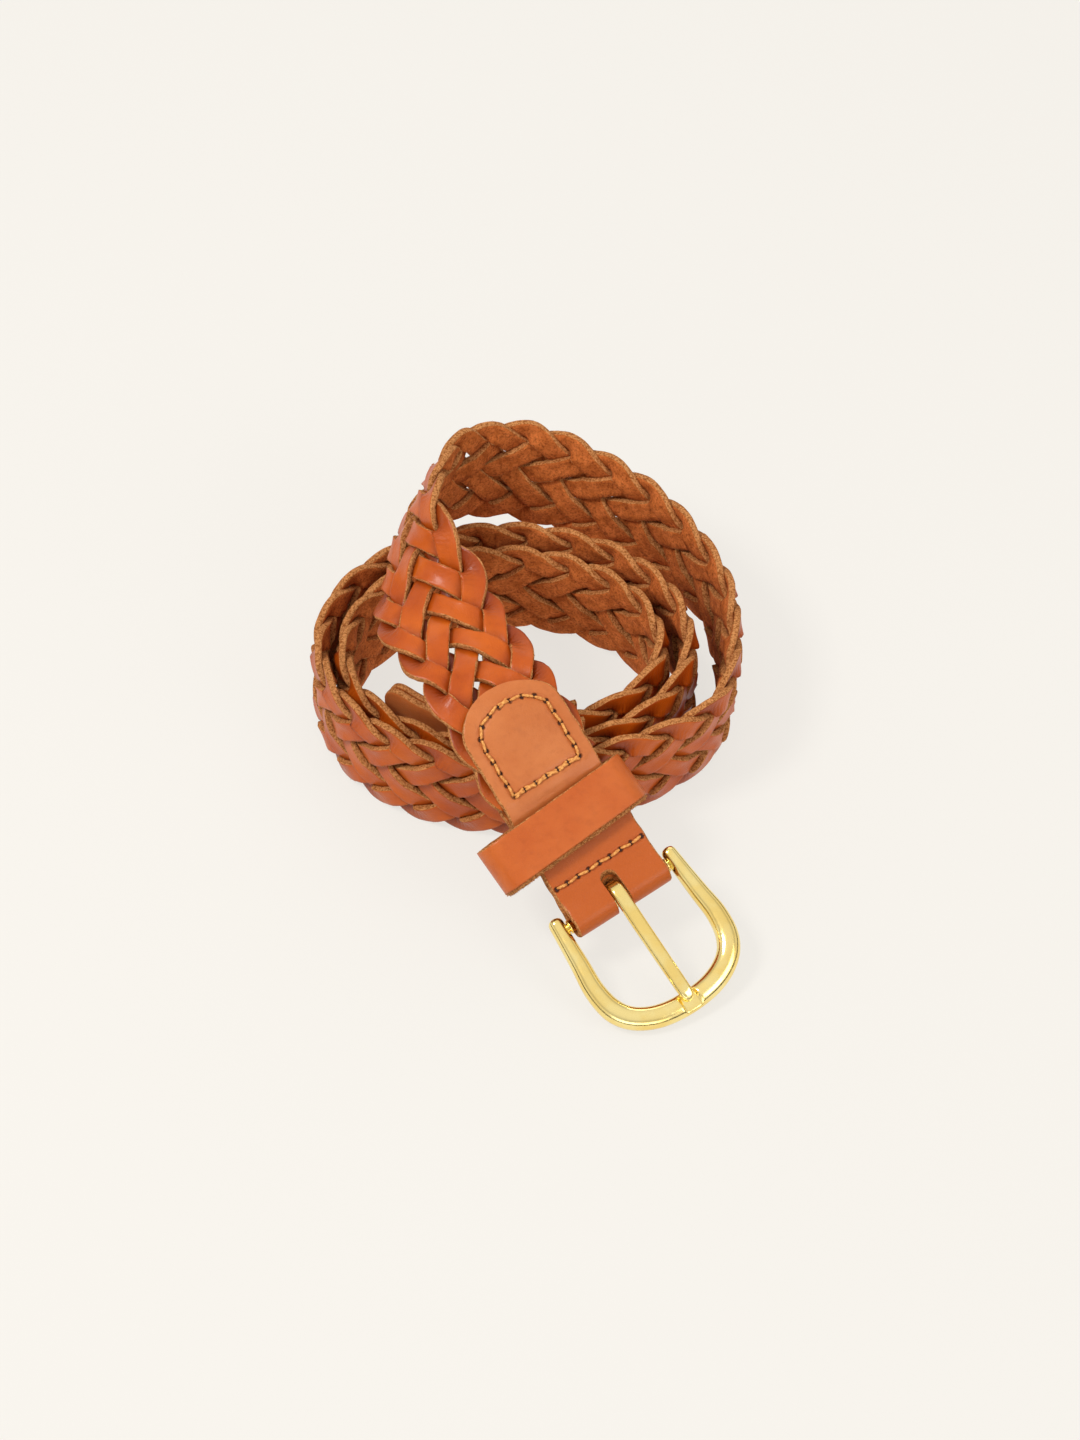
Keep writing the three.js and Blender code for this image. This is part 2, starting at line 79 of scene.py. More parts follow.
CHAPE_HEADING = np.array((0.53, -0.67, -0.53))
CHAPE_ACROSS = (0.82, 0.55, 0.13)
CHAPE_POINTS = (0.062, 0.042, 0.021, 0.0)   # of the route, before the bar

CHAPE_HALF = 0.0152
CHAPE_LENGTH = 0.065
CHAPE_ROUND = 0.010
OVER_BRAID = 0.034          # the chape lies over the braid from this far before the bar
BRAID_STOP = 0.0368         # the braid ends this far before the bar
SEAM_END = 0.038            # the box seam's straight row, before the bar
SEAM_HALF = 0.0109
SEAM_SIDE = 0.0165
SEAM_TOP = 0.0062
BAR_SEAM = 0.0105
STITCH = 0.0036
THREAD = 0.00042            # radius
FOLD_INNER = 0.0023         # radius of the fold's inner face round the bar
SLOT_HALF = 0.0024
SLOT_END = 0.0063           # of the slot, before the bar, at the middle of the fold
SLOT_SLOPE = 0.79           # how much longer the slot is for each unit of height
SLOT_REACH = 0.012          # of the tool that cuts it, up, down and forward

TIP_LENGTH = 0.058
TIP_CORNER = 0.006
BRAID_START = 0.034
TIP_SEAM = 0.053

KEEPER_AT = 0.0244          # the loop's middle, before the bar
KEEPER_BAND = 0.0146
KEEPER_HALF = 0.024
KEEPER_SPACE = 0.010
KEEPER_SIDE = -0.0022
KEEPER_TILT = math.radians(3.5)
KEEPER_REST = 0.0032
KEEPER_FUZZ = 4500          # loose fibres on the front edge
KEEPER_WORN = 0.26          # of the worn front edge, as a share of half the band

BUCKLE_LIFT = math.radians(10.3)
ARM_BACK = 0.0042
FRAME_FRONT = 0.0346
FRAME_HALF_LINE = [
    (-ARM_BACK, 0.0186),
    (0.003, 0.0190),
    (0.0105, 0.0195),
    (0.0185, 0.0201),
    (0.0255, 0.0189),
    (0.0304, 0.0152),
    (0.0336, 0.0086),
]
FRAME_SECTION = (0.0064, 0.005)
ARM_SECTION = (0.0041, 0.0038)
PRONG_WIDTH = 0.0041
PRONG_LENGTH = 0.0344
PRONG_RING = 0.0034         # radius of the curl's middle
SEAT_FLOOR = 0.00135

FLOOR_HALF = 40

random = np.random.default_rng(11)


# ------------------------------------------------------------------ route

def through(rows, per):
    """Points on a smooth curve through rows, with this many steps between neighbours."""
    rows = np.asarray(rows, float)
    padded = np.vstack([2 * rows[0] - rows[1], rows, 2 * rows[-1] - rows[-2]])
    u = np.arange((len(rows) - 1) * per + 1) / per
    i = np.minimum(u.astype(int), len(rows) - 2)
    t = (u - i)[:, None]
    before, a, b, after = (padded[i + k] for k in range(4))
    leave = (b - before) / 2
    arrive = (after - a) / 2
    rise = b - a
    return a + t * leave + t**2 * (3 * rise - 2 * leave - arrive) + t**3 * (leave + arrive - 2 * rise)


def unit(vectors):
    return vectors / np.linalg.norm(vectors, axis=-1, keepdims=True)


def route_rows():
    rows = []
    for degrees in COIL_ANGLES:
        turns = degrees / 360
        angle = math.radians(degrees)
        tuck = TIP_TUCK * math.sin(angle) if degrees < 0 else 0
        across = COIL_ACROSS[0] + COIL_ACROSS[1] * turns + tuck
        deep_and_shade = COIL_DEEP[0] + COIL_DEEP[1] * turns + tuck
        x = COIL_CENTRE[0] + COIL_DRIFT[0] * turns + across * math.cos(angle)
        y = COIL_CENTRE[1] + COIL_DRIFT[1] * turns + deep_and_shade * math.sin(angle)
        rows.append((x, y, EDGE, 0, 0, 1))
    rows += FREE_RUN
    for back in CHAPE_POINTS:
        rows.append((*(BAR_CENTRE - back * unit(CHAPE_HEADING)), *CHAPE_ACROSS))
    return rows


def measure_route():
    samples = through(route_rows(), 48)
    centre = samples[:, :3] + np.array(CENTRING)
    steps = np.linalg.norm(np.diff(centre, axis=0), axis=1)
    along = unit(np.gradient(centre, axis=0))
    across = samples[:, 3:]
    across = unit(across - (across * along).sum(1, keepdims=True) * along)
    return np.concatenate([[0], np.cumsum(steps)]), centre, along, across, np.cross(along, across)


RUN, CENTRE, ALONG, ACROSS, OUT = measure_route()
BAR_AT = RUN[-1]


def at(table, s):
    return np.stack([np.interp(s, RUN, table[:, k]) for k in range(3)], -1)


def place(s, y, n):
    """The point, or points, at belt coordinates s, y, n."""
    s, y, n = np.broadcast_arrays(s, y, n)
    beyond = (s - np.clip(s, 0, BAR_AT))[..., None]
    return (
        at(CENTRE, s) + beyond * at(ALONG, s)
        + y[..., None] * at(ACROSS, s) + n[..., None] * at(OUT, s)
    )


def at_bar(points, lift=0.0):
    """Points given forward, across and up from the bar, tipped up about it by an angle."""
    along, across, out = ALONG[-1], ACROSS[-1], OUT[-1]
    forward = math.cos(lift) * along + math.sin(lift) * out
    axes = np.array([forward, across, np.cross(forward, across)])
    return np.asarray(points) @ axes + CENTRE[-1]


# ------------------------------------------------------------------ meshes

def band_faces(rings, count, closed):
    """Four-sided faces between neighbouring rings of points, and the ring edge each stands on."""
    i = np.arange(rings if closed else rings - 1)[:, None]
    j = np.arange(count)[None, :]
    k = (i + 1) % rings
    m = (j + 1) % count
    quads = np.stack([i * count + j, i * count + m, k * count + m, k * count + j], -1)
    return quads.reshape(-1, 4), np.broadcast_to(j, (len(i), count)).ravel()


def add_piece(name, points, faces, materials, face_slots=None, values=None):
    """A smooth-shaded mesh. values holds named numbers, or rows of three, for each vertex."""
    mesh = bpy.data.meshes.new(name)
    mesh.from_pydata(np.asarray(points).reshape(-1, 3).tolist(), [], [list(f) for f in faces])
    for material in materials:
        mesh.materials.append(material)
    if face_slots is not None:
        mesh.polygons.foreach_set("material_index", np.asarray(face_slots, dtype=np.int32))
    mesh.shade_smooth()
    for key, value in (values or {}).items():
        value = np.asarray(value, dtype=np.float32)
        vector = value.size == 3 * len(mesh.vertices)
        layer = mesh.attributes.new(key, "FLOAT_VECTOR" if vector else "FLOAT", "POINT")
        layer.data.foreach_set("vector" if vector else "value", value.ravel())
    mesh.update()
    piece = bpy.data.objects.new(name, mesh)
    bpy.context.scene.collection.objects.link(piece)
    return piece


def add_band(name, rings, materials, ring_slots=None, values=None, closed=False):
    """A piece swept through rings, an array of rings by points by 3, with flat ends if open."""
    count = rings.shape[1]
    faces, edge = band_faces(len(rings), count, closed)
    faces = faces.tolist()
    slots = [0] * len(faces) if ring_slots is None else [ring_slots[j] for j in edge]
    if not closed:
        last = (len(rings) - 1) * count
        faces.append(list(range(count))[::-1])
        faces.append([last + j for j in range(count)])
        slots += [min(1, len(materials) - 1)] * 2
    return add_piece(name, rings, faces, materials, slots, values)


def add_to(piece, points, faces, slot):
    """Adds loose faces, with one material slot, to a piece."""
    mesh = piece.data
    built = bmesh.new()
    built.from_mesh(mesh)
    fresh = [built.verts.new(point) for point in points]
    for face in faces:
        built.faces.new([fresh[k] for k in face]).material_index = slot
    built.to_mesh(mesh)
    built.free()


def stand_for(piece, body, slot, *nodes):
    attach(piece, body)
    if nodes:
        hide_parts(*nodes)


# ------------------------------------------------------------------ materials

def srgb(*values):
    linear = [(v / 255 / 12.92 if v < 11 else ((v / 255 + 0.055) / 1.055) ** 2.4) for v in values]
    return (*linear, 1)


class Nodes:
    """Short calls for building one material's nodes."""

    def __init__(self, name):
        self.material = bpy.data.materials.new(name)
        self.material.use_nodes = True
        self.tree = self.material.node_tree
        self.shader = self.tree.nodes["Principled BSDF"]
        self.where = self.tree.nodes.new("ShaderNodeTexCoord").outputs["Object"]

    def add(self, kind, **settings):
        node = self.tree.nodes.new("ShaderNode" + kind)
        for key, value in settings.items():
            setattr(node, key, value)
        return node

    def join(self, source, socket):
        if hasattr(source, "links"):
            self.tree.links.new(source, socket)
        else:
            socket.default_value = source

    def noise(self, scale, detail=3.0, rough=0.55, where=None, stretch=None):
        vector = where or self.where
        if stretch:
            mapping = self.add("Mapping")
            mapping.inputs["Scale"].default_value = stretch
            self.join(vector, mapping.inputs["Vector"])
            vector = mapping.outputs[0]
        node = self.add("TexNoise")
        self.join(vector, node.inputs["Vector"])
        node.inputs["Scale"].default_value = scale
        node.inputs["Detail"].default_value = detail
        node.inputs["Roughness"].default_value = rough
        return node.outputs["Fac"]

    def cells(self, scale):
        node = self.add("TexVoronoi")
        self.join(self.where, node.inputs["Vector"])
        node.inputs["Scale"].default_value = scale
        return node.outputs["Distance"]

    def math(self, operation, a, b=0.0):
        node = self.add("Math", operation=operation)
        self.join(a, node.inputs[0])
        self.join(b, node.inputs[1])
        return node.outputs[0]

    def spread(self, value, painted_low_shade, high, to_low=0.0, to_high=1.0):
        node = self.add("MapRange")
        self.join(value, node.inputs["Value"])
        for key, number in zip(("From Min", "From Max", "To Min", "To Max"), (painted_low_shade, high, to_low, to_high)):
            node.inputs[key].default_value = number
        return node.outputs[0]

    def mix(self, factor, a, b):
        node = self.add("Mix", data_type="RGBA")
        self.join(factor, node.inputs[0])
        self.join(a, node.inputs[6])
        self.join(b, node.inputs[7])
        return node.outputs[2]

    def attribute(self, name, part="Fac"):
        return self.add("Attribute", attribute_name=name).outputs[part]

    def parts(self, vector):
        node = self.add("SeparateXYZ")
        self.join(vector, node.inputs[0])
        return node.outputs

    def bump(self, height, distance, under=None, strength=1.0):
        node = self.add("Bump")
        node.inputs["Strength"].default_value = strength
        node.inputs["Distance"].default_value = distance
        self.join(height, node.inputs["Height"])
        if under is not None:
            self.join(under, node.inputs["Normal"])
        return node.outputs[0]

    def finish(self, colour, roughness, normal, **fixed):
        self.join(colour, self.shader.inputs["Base Color"])
        self.join(roughness, self.shader.inputs["Roughness"])
        self.join(normal, self.shader.inputs["Normal"])
        for key, value in fixed.items():
            self.shader.inputs[key.replace("_", " ")].default_value = value
        return self.material


def grain_leather(name, light, dark, deep_and_shade, creased=False, stitched=False):
    """Smooth dyed leather: soft blotches, fine pores, and creases where a strand turns; with creased, painted
    shade where a strand runs low and inside its turns; with stitched, painted shade in the stitch holes and
    towards the bar.
    """
    n = Nodes(name)
    blotch = n.spread(n.noise(70), 0.35, 0.65)
    colour = n.mix(blotch, light, dark)
    colour = n.mix(n.spread(n.noise(420, 4), 0.5, 0.75, 0, 0.14), colour, deep_and_shade)
    pores = n.bump(n.cells(2600), 0.00008, strength=0.5)
    normal = n.bump(n.noise(1300, 4, 0.6), 0.00016, pores, 0.7)
    rough = n.spread(n.noise(300), 0.3, 0.7, 0.34, 0.46)
    if creased:
        belt = n.parts(n.attribute("belt", "Vector"))
        turn = n.attribute("turn")
        run = n.math("ADD", n.math("MULTIPLY", belt[0], 5200), n.math("MULTIPLY", n.noise(500), 7))
        wave = n.math("MULTIPLY", n.math("SINE", run), turn)
        normal = n.bump(wave, 0.00013, normal, 0.8)
        # Painted shade: the strand is darkened towards TAN_DEEP where it runs low, under the strands that
        # cross it.
        painted_low_shade = n.spread(belt[2], -0.0009, 0.0008, 0.7, 0)
        colour = n.mix(painted_low_shade, colour, deep_and_shade)
        # Painted shade on the inside of each turn, where the strand folds over.
        colour = n.mix(n.math("MULTIPLY", turn, 0.35), colour, deep_and_shade)
    if stitched:
        seam = n.parts(n.attribute("seam", "Vector"))
        aside = n.math("ABSOLUTE", n.math("SUBTRACT", n.math("FRACT", n.math("ADD", seam[0], 0.5)), 0.5))
        aside = n.math("POWER", n.math("MULTIPLY", aside, STITCH), 2.0)
        apart = n.math("SQRT", n.math("ADD", aside, n.math("POWER", seam[1], 2.0)))
        hole = n.spread(apart, 0.0005, 0.0009, 1, 0)
        groove = n.spread(n.math("ABSOLUTE", seam[1]), 0.0, 0.0012, 0, 1)
        normal = n.bump(groove, 0.00035, normal, 0.7)
        normal = n.bump(n.math("SUBTRACT", 1.0, hole), 0.0005, normal)
        # Painted shade: the chape is deepened to a darker orange towards the bar, where its surface curves
        # down.
        colour = n.mix(n.math("MULTIPLY", seam[2], 0.8), colour, srgb(172, 76, 10))
        # Painted shade: each stitch hole is coloured near black.
        colour = n.mix(hole, colour, srgb(50, 14, 3))
    return n.finish(colour, rough, normal, Specular_IOR_Level=0.22, Coat_Weight=0.16, Coat_Roughness=0.18)


def suede(name, light, dark):
    """The nappy flesh side of the leather."""
    n = Nodes(name)
    colour = n.mix(n.spread(n.noise(260, 5, 0.7), 0.38, 0.62), light, dark)
    colour = n.mix(n.spread(n.noise(1500, 3, 0.7), 0.47, 0.68, 0, 0.7), colour, srgb(92, 38, 12))
    normal = n.bump(n.noise(1500, 5, 0.75), 0.0003, strength=0.6)
    normal = n.bump(n.noise(3600, 3, 0.7), 0.0002, normal, 0.6)
    return n.finish(colour, 0.95, normal, Specular_IOR_Level=0.1)


def cut_edge(name, light, dark):
    """Raw fibres along a cut."""
    n = Nodes(name)
    clumps = n.noise(1700, 3, 0.7)
    fibres = n.noise(4200, 3, 0.7)
    colour = n.mix(n.spread(clumps, 0.42, 0.62), light, dark)
    colour = n.mix(n.spread(fibres, 0.55, 0.75, 0, 0.6), colour, srgb(92, 48, 20))
    normal = n.bump(clumps, 0.0005)
    normal = n.bump(fibres, 0.0003, normal)
    return n.finish(colour, 0.95, normal, Specular_IOR_Level=0.1)


def waxed_thread():
    n = Nodes("waxed_thread")
    colour = n.mix(n.spread(n.noise(1500), 0.35, 0.65), srgb(232, 168, 90), srgb(184, 108, 44))
    normal = n.bump(n.noise(5000, 3, 0.7), 0.0001, strength=0.6)
    return n.finish(colour, 0.6, normal, Specular_IOR_Level=0.4)


def gold_plate():
    """Polished plating over a casting: faint waves, tiny pits and handling marks."""
    n = Nodes("gold_plate")
    colour = n.mix(n.spread(n.noise(120), 0.4, 0.6), srgb(255, 234, 160), srgb(250, 220, 134))
    rough = n.spread(n.noise(240, 4), 0.35, 0.7, 0.1, 0.24)
    normal = n.bump(n.noise(180, 2), 0.0002, strength=0.25)
    scratches = n.noise(900, 2, 0.5, stretch=(1, 0.15, 1))
    normal = n.bump(scratches, 0.00004, normal, 0.4)
    return n.finish(colour, rough, normal, Metallic=1.0)


def plain_steel():
    n = Nodes("plain_steel")
    colour = n.mix(n.noise(500), srgb(150, 148, 145), srgb(188, 186, 182))
    normal = n.bump(n.noise(1500, 3), 0.0001, strength=0.4)
    return n.finish(colour, n.spread(n.noise(300), 0.3, 0.7, 0.25, 0.4), normal, Metallic=1.0)


def paper_floor():
    n = Nodes("floor_paper")
    colour = n.mix(n.noise(4), srgb(108, 106, 103), srgb(105, 103, 100))
    normal = n.bump(n.noise(60), 0.0001, strength=0.1)
    glow = srgb(248, 245, 239)
    return n.finish(colour, 0.9, normal, Specular_IOR_Level=0.1, Emission_Color=glow, Emission_Strength=0.775)


TAN = srgb(190, 88, 12)
TAN_DARK = srgb(172, 72, 8)
# TAN_DEEP tints small darker marks. On the strands it is also the painted shade where they run low and inside
# their turns.
TAN_DEEP = srgb(98, 22, 3)
STRAND_GRAIN = grain_leather("strand_grain", TAN, TAN_DARK, TAN_DEEP, creased=True)
CHAPE_GRAIN = grain_leather("chape_grain", srgb(192, 112, 60), srgb(182, 100, 48), TAN_DEEP, stitched=True)
KEEPER_GRAIN = grain_leather("keeper_grain", srgb(190, 96, 38), srgb(180, 84, 28), TAN_DEEP)
SUEDE = suede("suede", srgb(208, 118, 60), srgb(168, 88, 38))
CUT = cut_edge("cut_edge", srgb(216, 150, 92), srgb(152, 86, 40))
WAXED = waxed_thread()
GOLD = gold_plate()
STEEL = plain_steel()


# ------------------------------------------------------------------ the braid

def wave(m):
    """A strand's middle across the belt, on a trip from one edge to the other, m from 0 to 7."""
    angle = math.pi * (m / 7 - 0.5)
    return SWING * np.arcsin(ROUNDING * np.sin(angle)) / math.asin(ROUNDING)


def slope(m):
    """How far across per distance along."""
    return (wave(m + 0.01) - wave(m - 0.01)) / (0.02 * CROSSING)


# On a trip a strand goes over one crossing, under two, over two, and under one.
PASSES = np.array([1, -1, -1, 1, 1, -1])
PER_CROSSING = 8
GRID_V = 9
FUZZ_PER_STRAND = 2600
FIBRE = 0.0006              # the longest loose fibre


def relax_heights():
    """The strand's height over one trip, rows along and columns across, pressed apart where
    strands cross and otherwise as smooth as a strap of leather lies."""
    m = np.linspace(0, 7, 7 * PER_CROSSING + 1)[:, None]
    v = np.linspace(-1, 1, GRID_V)[None, :] * STRAND_WIDTH / 2
    tilt = slope(m)
    long = np.sqrt(1 + tilt**2)
    x = m * CROSSING - v * tilt / long
    y = wave(m) + v / long
    meetings = []
    for column in range(1, 7):
        start = (2 * column - 7) * CROSSING
        other = 7 - m + 0 * v + 2 * (m - column)
        for _ in range(12):
            lean = slope(other)
            size = np.sqrt(1 + lean**2)
            side = (-y - wave(other)) * size
            other = (x - start + side * lean / size) / CROSSING
        met = (np.abs(side) < STRAND_WIDTH / 2) & (other > 0) & (other < 7) & (np.abs(m - column) < 1.2)
        row = np.clip(other * PER_CROSSING, 0, 7 * PER_CROSSING)
        col = np.clip((side / STRAND_WIDTH + 0.5) * (GRID_V - 1), 0, GRID_V - 1)
        meetings.append((met, row, col, PASSES[column - 1]))
    # A first guess: up or down at each crossing. The loop below then presses and smooths it.
    height = np.zeros(x.shape)
    for column in range(1, 7):
        height += PASSES[column - 1] * 0.0009 * np.exp(-((m - column) / 0.55) ** 2)
    for _ in range(90):
        before = height[-4:-1, ::-1]
        after = height[1:4, ::-1]
        tall = np.vstack([before, height, after])
        tall = sum(w * tall[k:k + len(height)] for k, w in ((1, 1), (2, 2), (3, 3), (4, 2), (5, 1))) / 9
        wide = np.pad(tall, ((0, 0), (1, 1)), "edge")
        height = (wide[:, :-2] + 2 * wide[:, 1:-1] + wide[:, 2:]) / 4
        push = np.zeros(height.shape)
        for met, row, col, above in meetings:
            i = np.minimum(row.astype(int), len(height) - 2)
            j = np.minimum(col.astype(int), GRID_V - 2)
            a, b = row - i, col - j
            there = (
                height[i, j] * (1 - a) * (1 - b) + height[i + 1, j] * a * (1 - b)
                + height[i, j + 1] * (1 - a) * b + height[i + 1, j + 1] * a * b
            )
            short = STRAND_THICK - above * (height - there)
            push += np.where(met & (short > 0), above * short * 0.5, 0)
        height = height + push
    return height


HEIGHTS = relax_heights()


def strand_height(m, across):
    """Height at trip position m (0 to 7) and across (-1 to 1)."""
    row = np.clip(m * PER_CROSSING, 0, 7 * PER_CROSSING - 1e-6)
    col = np.clip((across + 1) / 2 * (GRID_V - 1), 0, GRID_V - 1 - 1e-6)
    i, j = row.astype(int), col.astype(int)
    a, b = row - i, col - j
    return (
        HEIGHTS[i, j] * (1 - a) * (1 - b) + HEIGHTS[i + 1, j] * a * (1 - b)
        + HEIGHTS[i, j + 1] * (1 - a) * b + HEIGHTS[i + 1, j + 1] * a * b
    )


# A leather band's section: across (-1 to 1), height (-1 to 1), and the surface that follows it.
GRAIN, RAW, FLESH = 0, 1, 2
STRAND_SECTION = [
    (0.93, 1, GRAIN), (0.72, 1, GRAIN), (0.4, 1, GRAIN), (0.1, 1, GRAIN), (-0.1, 1, GRAIN),
    (-0.4, 1, GRAIN), (-0.72, 1, GRAIN), (-0.93, 1, RAW), (-1, 0.62, RAW), (-1, -0.6, RAW),
    (-0.94, -1, FLESH), (-0.5, -1, FLESH), (0, -1, FLESH), (0.5, -1, FLESH), (0.94, -1, RAW),
    (1, -0.6, RAW), (1, 0.62, RAW),
]


def smooth_noise(count, reach, size):
    """Random numbers along a line, with neighbours alike over this many steps."""
    values = random.standard_normal(count + 4 * reach)
    kernel = np.hanning(2 * reach + 3)
    values = np.convolve(values, kernel / np.sqrt((kernel**2).sum()), "same")
    return size * values[2 * reach:2 * reach + count]


def fuzz(places, outward, size):
    """Tiny loose fibres: three-sided spikes at these places, pointing out at random."""
    count = len(places)
    lean = unit(outward + random.standard_normal((count, 3)) * 0.55)
    side = unit(np.cross(lean, random.standard_normal((count, 3))))
    other = np.cross(lean, side)
    length = size * random.uniform(0.4, 1.0, (count, 1)) ** 1.5
    angle = np.radians((0, 120, 240))
    base = places[:, None] + 0.1 * size * (
        np.cos(angle)[:, None] * side[:, None] + np.sin(angle)[:, None] * other[:, None]
    ) - 0.1 * size * lean[:, None]
    points = np.concatenate([base, (places + length * lean)[:, None]], 1)
    corner = 4 * np.arange(count)[:, None]
    faces = np.concatenate([corner + f for f in ((0, 1, 3), (1, 2, 3), (2, 0, 3), (2, 1, 0))])
    return points.reshape(-1, 3), faces


def make_strand(number):
    shift = BRAID_START + 2 * CROSSING * number
    first = (BRAID_START - shift) / CROSSING
    last = (BAR_AT - BRAID_STOP - shift) / CROSSING
    m = np.arange(first, last, 1 / PER_CROSSING)
    trip = np.floor(m / 7)
    side = np.where(trip % 2 == 0, 1.0, -1.0)
    m_in = m - 7 * trip
    across = np.array([a for a, _, _ in STRAND_SECTION])
    level = np.array([b for _, b, _ in STRAND_SECTION])
    # Cut edges wander a little, and each corner of the section wanders by itself.
    wander = np.stack([smooth_noise(len(m), 1, 0.03) for _ in STRAND_SECTION], 1)
    wander *= (np.abs(across) > 0.9)[None, :]
    slow = np.stack([smooth_noise(len(m), 12, 0.03) for _ in range(2)], 1)
    wander += np.where(across > 0, slow[:, :1], -slow[:, 1:]) * np.abs(across)[None, :]
    a = across[None, :] + wander
    tilt = (side * slope(m_in))[:, None]
    long = np.sqrt(1 + tilt**2)
    v = a * STRAND_WIDTH / 2
    s = shift + (m * CROSSING)[:, None] - v * tilt / long
    y = (side * wave(m_in))[:, None] + v / long
    crown = 1 - 0.10 * a**2
    lift = strand_height(m_in[:, None] + 0 * a, np.clip(a * side[:, None], -1, 1))
    n = lift + level[None, :] * crown * STRAND_THICK / 2
    sewn = (s < TIP_LENGTH) | (s > BAR_AT - CHAPE_LENGTH)
    n = np.where(sewn, np.clip(n, -BRAID_FACE + 0.0001, BRAID_FACE - 0.0001), n)
    n[:, level < 0] += np.stack([smooth_noise(len(m), 1, 0.00004) for _ in range((level < 0).sum())], 1)
    # turn is strongest on the inside of each turn. The material uses it for crease bumps and for painted
    # shade there.
    turn = np.clip(1 - np.minimum(m_in, 7 - m_in)[:, None] / 0.9, 0, 1)
    inner = np.clip(0.7 - a * np.where(m_in < 3.5, -1, 1)[:, None] * side[:, None], 0, 1)
    # belt holds distance along, distance across and the strand's lift. The material paints shade where the
    # lift is low.
    belt = np.stack([m[:, None] * CROSSING + 0 * a, v, lift], -1)
    rings = place(s, y, n)
    piece = add_band(
        f"braid_strand_{number + 1}", rings, [STRAND_GRAIN, CUT, SUEDE],
        [kind for _, _, kind in STRAND_SECTION], {"belt": belt, "turn": turn * inner},
    )
    raw = [j for j, (_, _, kind) in enumerate(STRAND_SECTION) if kind == RAW]
    row = random.integers(1, len(m) - 1, FUZZ_PER_STRAND)
    row = row[~sewn[row].any(1)]
    corner = random.choice(raw, len(row))
    part = random.uniform(0, 1, (len(row), 1))
    places = rings[row, corner] * (1 - part) + rings[row + 1, corner] * part
    points, faces = fuzz(places, places - rings[row].mean(1), FIBRE)
    add_to(piece, points, faces, 1)
    stand_for(piece, "strap", "braid_leather", f"strand_{number + 1}")


# ------------------------------------------------------------------ sewn leather

def box_seam():
    """Corners of the box seam in s, y: a straight row, two sides and a rounded top."""
    row = BAR_AT - SEAM_END
    shoulder = row - SEAM_SIDE
    corners = [(row, -SEAM_HALF), (row, SEAM_HALF), (shoulder, SEAM_HALF)]
    for degrees in range(20, 180, 20):
        angle = math.radians(degrees)
        corners.append((shoulder - SEAM_TOP * math.sin(angle), SEAM_HALF * math.cos(angle)))
    corners += [(shoulder, -SEAM_HALF), (row, -SEAM_HALF)]
    return np.array(corners)


BOX_SEAM = box_seam()
BAR_SEAM_ROW = np.array([(BAR_AT - BAR_SEAM, -0.014), (BAR_AT - BAR_SEAM, 0.014)])
TIP_SEAM_ROW = np.array([(TIP_SEAM, -0.013), (TIP_SEAM, 0.013)])


def even_points(corners, pitch):
    """Points along a seam at an even pitch close to this one, both ends included."""
    steps = np.linalg.norm(np.diff(corners, axis=0), axis=1)
    run = np.concatenate([[0], np.cumsum(steps)])
    count = round(run[-1] / pitch)
    where = np.linspace(0, run[-1], count + 1)
    return np.stack([np.interp(where, run, corners[:, k]) for k in range(2)], 1), run[-1] / count


def seam_value(s, y, corners):
    """For each point: stitches run along the nearest seam, and the distance from it in metres."""
    _, pitch = even_points(corners, STITCH)
    best = np.full(s.shape, np.inf)
    stitches = np.zeros(s.shape)
    run = 0.0
    for a, b in zip(corners[:-1], corners[1:]):
        d = b - a
        size = np.linalg.norm(d)
        t = np.clip(((s - a[0]) * d[0] + (y - a[1]) * d[1]) / size**2, 0, 1)
        far = np.hypot(s - a[0] - t * d[0], y - a[1] - t * d[1])
        nearer = far < best
        best = np.where(nearer, far, best)
        stitches = np.where(nearer, (run + t * size) / pitch, stitches)
        run += size
    return stitches, best


def sheet_section(columns):
    """A wide leather section with softly rounded corners: across and height, from -1 to 1."""
    top = np.linspace(0.97, -0.97, columns)
    under = np.linspace(-0.97, 0.97, columns // 3)
    section = [(a, 1, GRAIN) for a in top[:-1]] + [(top[-1], 1, RAW)]
    section += [(-0.995, 0.7, RAW), (-1, 0, RAW), (-0.995, -0.7, RAW)]
    section += [(a, -1, FLESH) for a in under[:-1]] + [(under[-1], -1, RAW)]
    section += [(0.995, -0.7, RAW), (1, 0, RAW), (0.995, 0.7, RAW)]
    return section


def chape_path():
    """The chape's middle surface, as s, n and half width, from the front end round to the back."""
    half_thick = LEATHER / 2
    # Distance before the bar, and height of the leather's inner face.
    knots = np.array([
        (CHAPE_LENGTH, BRAID_FACE), (0.037, BRAID_FACE), (0.034, 0.0017), (0.0305, 0.0006),
        (0.028, CLOSED_FACE), (0.0085, CLOSED_FACE), (0.006, 0.0005), (0.004, 0.0012), (0.0022, 0.002),
    ])
    back = np.concatenate([CHAPE_LENGTH - CHAPE_ROUND * (1 - np.cos(np.linspace(0.12, 1.57, 16))),
                           np.arange(CHAPE_LENGTH - CHAPE_ROUND - 0.0007, 0.0024, -0.0007)])
    face = np.interp(back, knots[::-1, 0], knots[::-1, 1])
    short = np.maximum(back - (CHAPE_LENGTH - CHAPE_ROUND), 0) / CHAPE_ROUND
    half = CHAPE_HALF * np.sqrt(1 - short**2)
    front = np.stack([BAR_AT - back, face + half_thick, half], 1)
    under = front[::-1] * (1, -1, 1)
    angles = np.radians(np.linspace(112, -112, 30))
    radius = FOLD_INNER + half_thick
    fold = np.stack([BAR_AT + radius * np.cos(angles), radius * np.sin(angles), 0 * angles + CHAPE_HALF], 1)
    return np.vstack([front, fold, under])


